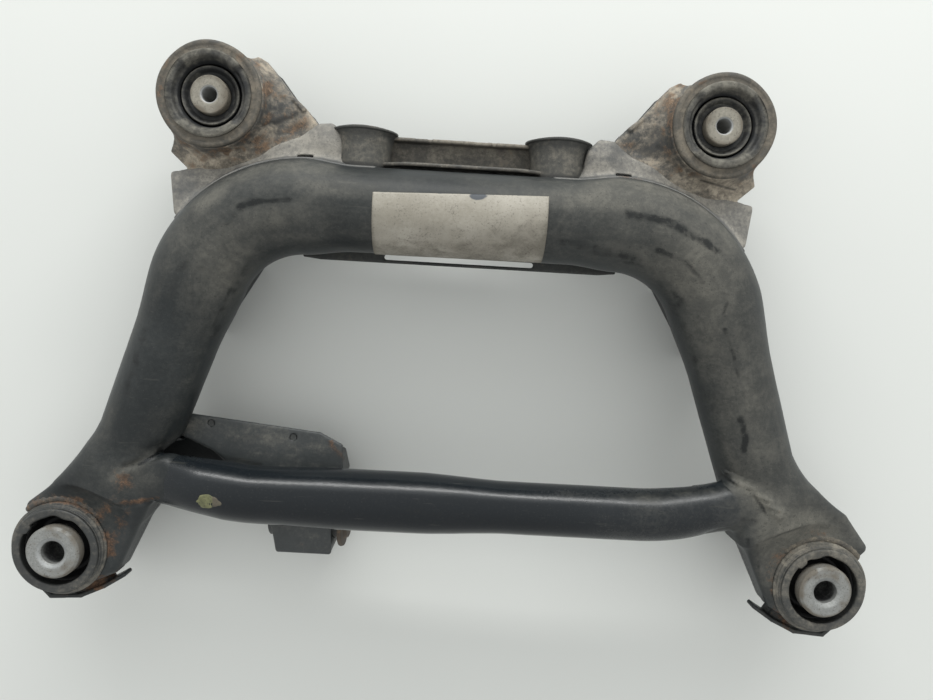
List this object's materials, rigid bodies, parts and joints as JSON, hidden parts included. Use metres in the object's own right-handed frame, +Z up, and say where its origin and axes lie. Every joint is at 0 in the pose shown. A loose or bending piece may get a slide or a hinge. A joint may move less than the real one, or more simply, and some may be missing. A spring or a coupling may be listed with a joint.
{
  "type": "rear axle subframe",
  "caption": "Welded steel rear subframe: a bent tubular U closed by a front cross tube, with pressed arms and consoles, rubber-bushed body mounts and differential mounts.",
  "frame": {"origin": "middle of the footprint, on the surface the frame lies on", "axes": "+X across the car to its right, +Y to the rear of the car, +Z up towards the bush sleeve faces"},
  "size_m": [0.844, 0.545, 0.1464],
  "materials": {
    "paint": "satin blue-black paint, scuffed and dusty",
    "dusty_paint": "black paint under brown-grey dust",
    "rusty_paint": "black paint broken by rust and dust",
    "rubber": "matt black, dusty",
    "rusty_rubber": "matt, brown with road dirt",
    "alloy": "turned, dull and stained",
    "label": "bare beige-grey foil, dirty"
  },
  "bodies": {
    "root": {"main_tube": "paint", "front_cross_tube": "paint", "front_arm_upper_shell_left": "paint", "front_arm_upper_shell_right": "paint", "front_arm_lower_shell_left": "paint", "front_arm_lower_shell_right": "paint", "front_bush_housing_left": "dusty_paint", "front_bush_housing_right": "dusty_paint", "front_bush_outer_sleeve_left": "dusty_paint", "front_bush_outer_sleeve_right": "dusty_paint", "front_bush_rubber_left": "rubber", "front_bush_rubber_right": "rubber", "front_bush_core_left": "alloy", "front_bush_core_right": "alloy", "front_hook_strip_left": "paint", "front_hook_strip_right": "paint", "front_link_bracket_left": "paint", "front_link_bracket_right": "paint", "rear_console_upper_left": "rusty_paint", "rear_console_upper_right": "rusty_paint", "rear_console_lower_left": "paint", "rear_console_lower_right": "paint", "rear_bush_housing_left": "rusty_paint", "rear_bush_housing_right": "rusty_paint", "rear_bush_outer_sleeve_left": "dusty_paint", "rear_bush_outer_sleeve_right": "dusty_paint", "rear_bush_rubber_left": "rubber", "rear_bush_rubber_right": "rubber", "rear_bush_core_left": "alloy", "rear_bush_core_right": "alloy", "rear_gusset_left": "dusty_paint", "rear_gusset_right": "dusty_paint", "rear_link_bracket_left": "paint", "rear_link_bracket_right": "paint", "diff_sleeve_left": "dusty_paint", "diff_sleeve_right": "dusty_paint", "diff_bush_rubber_left": "rubber", "diff_bush_rubber_right": "rubber", "diff_bush_core_left": "alloy", "diff_bush_core_right": "alloy", "rear_cross_plate": "dusty_paint", "lower_cross_plate": "paint", "diff_front_bracket": "paint", "diff_front_sleeve": "dusty_paint", "diff_front_rubber": "rusty_rubber", "diff_front_core": "alloy", "tube_label": "label"}
  },
  "joints": []
}
